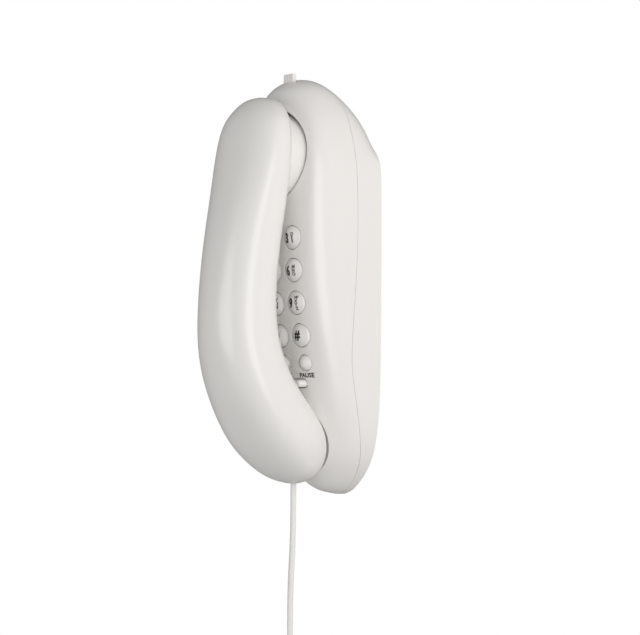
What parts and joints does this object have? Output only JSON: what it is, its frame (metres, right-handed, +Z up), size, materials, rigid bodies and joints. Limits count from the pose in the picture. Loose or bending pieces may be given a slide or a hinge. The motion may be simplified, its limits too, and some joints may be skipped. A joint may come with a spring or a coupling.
{
  "type": "corded wall telephone",
  "caption": "Slim corded wall telephone: a curved handset hangs over the keypad of a narrow base, with a curly handset cord.",
  "frame": {"origin": "middle of the two wall keyholes, on the flat back that lies against the wall", "axes": "+X to the right of someone facing the phone, +Y into the wall, +Z up"},
  "size_m": [0.0724, 0.0871, 0.4358],
  "materials": {
    "housing_white": "satin moulded plastic",
    "handset_white": "satin moulded plastic",
    "key_white": "satin moulded plastic with printed black figures",
    "hook_white": "satin moulded plastic",
    "mat_rubber": "grey silicone rubber",
    "board_green": "solder-masked board",
    "component_black": "black moulded plastic",
    "capacitor_can": "plain aluminium cans",
    "varistor_blue": "dipped coating",
    "ringer_brass": "rolled brass",
    "holder_grey": "moulded plastic",
    "socket_grey": "moulded plastic",
    "plug_clear": "clear moulded plastic",
    "screw_steel": "zinc-plated steel",
    "gasket_rubber": "black foam rubber",
    "microphone_can": "drawn aluminium can",
    "ballast_steel": "plain steel bar",
    "cord_white": "soft white vinyl"
  },
  "bodies": {
    "base": {"base_front_housing": "housing_white", "base_back_housing": "housing_white", "keypad_mat": "mat_rubber", "main_board": "board_green", "dialler_chip": "component_black", "board_capacitors": "capacitor_can", "board_transistors": "component_black", "surge_varistor": "varistor_blue", "hook_switch_body": "component_black", "ringer_switch_body": "component_black", "ringer_holder": "holder_grey", "ringer_disc": "ringer_brass", "line_jack": "socket_grey", "base_cord_jack": "socket_grey", "housing_screws": "screw_steel", "board_screws": "screw_steel", "handset_hook": "hook_white", "curly_cord": "cord_white", "base_cord_lead": "cord_white", "base_cord_plug": "plug_clear"},
    "handset": {"handset_outer_shell": "handset_white", "handset_inner_shell": "handset_white", "receiver_capsule": "component_black", "receiver_gasket": "gasket_rubber", "microphone_capsule": "microphone_can", "microphone_boot": "gasket_rubber", "handset_ballast": "ballast_steel", "handset_jack": "socket_grey", "handset_screws": "screw_steel", "handset_cord_plug": "plug_clear", "handset_cord_lead": "cord_white"},
    "hook_plunger": {"hook_plunger": "hook_white"},
    "ringer_knob": {"ringer_knob": "hook_white"},
    "key_1_button": {"key_1": "key_white"},
    "key_2_button": {"key_2": "key_white"},
    "key_3_button": {"key_3": "key_white"},
    "key_4_button": {"key_4": "key_white"},
    "key_5_button": {"key_5": "key_white"},
    "key_6_button": {"key_6": "key_white"},
    "key_7_button": {"key_7": "key_white"},
    "key_8_button": {"key_8": "key_white"},
    "key_9_button": {"key_9": "key_white"},
    "key_star_button": {"key_star": "key_white"},
    "key_0_button": {"key_0": "key_white"},
    "key_hash_button": {"key_hash": "key_white"},
    "key_flash_button": {"key_flash": "key_white"},
    "key_redial_button": {"key_redial": "key_white"},
    "key_pause_button": {"key_pause": "key_white"}
  },
  "joints": [
    {"name": "handset_lift", "type": "slide", "parent": "base", "child": "handset", "axis": [0, -0.9659, 0.2588], "range_m": [0, 0.11]},
    {"name": "hook_plunger_slide", "type": "slide", "parent": "base", "child": "hook_plunger", "axis": [0, -1, 0], "range_m": [0, 0.003]},
    {"name": "ringer_knob_slide", "type": "slide", "parent": "base", "child": "ringer_knob", "axis": [1, 0, 0], "range_m": [-0.0025, 0.0025]},
    {"name": "key_1_press", "type": "slide", "parent": "base", "child": "key_1_button", "axis": [0, 0.9934, 0.1149], "range_m": [0, 0.0016], "stiffness_N_per_m": 700, "springref_m": -0.0005},
    {"name": "key_2_press", "type": "slide", "parent": "base", "child": "key_2_button", "axis": [0, 0.9934, 0.1149], "range_m": [0, 0.0016], "stiffness_N_per_m": 700, "springref_m": -0.0005},
    {"name": "key_3_press", "type": "slide", "parent": "base", "child": "key_3_button", "axis": [0, 0.9934, 0.1149], "range_m": [0, 0.0016], "stiffness_N_per_m": 700, "springref_m": -0.0005},
    {"name": "key_4_press", "type": "slide", "parent": "base", "child": "key_4_button", "axis": [0, 0.9934, 0.1149], "range_m": [0, 0.0016], "stiffness_N_per_m": 700, "springref_m": -0.0005},
    {"name": "key_5_press", "type": "slide", "parent": "base", "child": "key_5_button", "axis": [0, 0.9934, 0.1149], "range_m": [0, 0.0016], "stiffness_N_per_m": 700, "springref_m": -0.0005},
    {"name": "key_6_press", "type": "slide", "parent": "base", "child": "key_6_button", "axis": [0, 0.9934, 0.1149], "range_m": [0, 0.0016], "stiffness_N_per_m": 700, "springref_m": -0.0005},
    {"name": "key_7_press", "type": "slide", "parent": "base", "child": "key_7_button", "axis": [0, 0.9934, 0.1149], "range_m": [0, 0.0016], "stiffness_N_per_m": 700, "springref_m": -0.0005},
    {"name": "key_8_press", "type": "slide", "parent": "base", "child": "key_8_button", "axis": [0, 0.9934, 0.1149], "range_m": [0, 0.0016], "stiffness_N_per_m": 700, "springref_m": -0.0005},
    {"name": "key_9_press", "type": "slide", "parent": "base", "child": "key_9_button", "axis": [0, 0.9934, 0.1149], "range_m": [0, 0.0016], "stiffness_N_per_m": 700, "springref_m": -0.0005},
    {"name": "key_star_press", "type": "slide", "parent": "base", "child": "key_star_button", "axis": [0, 0.9934, 0.1149], "range_m": [0, 0.0016], "stiffness_N_per_m": 700, "springref_m": -0.0005},
    {"name": "key_0_press", "type": "slide", "parent": "base", "child": "key_0_button", "axis": [0, 0.9934, 0.1149], "range_m": [0, 0.0016], "stiffness_N_per_m": 700, "springref_m": -0.0005},
    {"name": "key_hash_press", "type": "slide", "parent": "base", "child": "key_hash_button", "axis": [0, 0.9934, 0.1149], "range_m": [0, 0.0016], "stiffness_N_per_m": 700, "springref_m": -0.0005},
    {"name": "key_flash_press", "type": "slide", "parent": "base", "child": "key_flash_button", "axis": [0, 0.9934, 0.1149], "range_m": [0, 0.0016], "stiffness_N_per_m": 700, "springref_m": -0.0005},
    {"name": "key_redial_press", "type": "slide", "parent": "base", "child": "key_redial_button", "axis": [0, 0.9934, 0.1149], "range_m": [0, 0.0016], "stiffness_N_per_m": 700, "springref_m": -0.0005},
    {"name": "key_pause_press", "type": "slide", "parent": "base", "child": "key_pause_button", "axis": [0, 0.9934, 0.1149], "range_m": [0, 0.0016], "stiffness_N_per_m": 700, "springref_m": -0.0005}
  ],
  "couplings": [
    {"joint": "hook_plunger_slide", "follows": "handset_lift", "ratio": 0.02727}
  ]
}
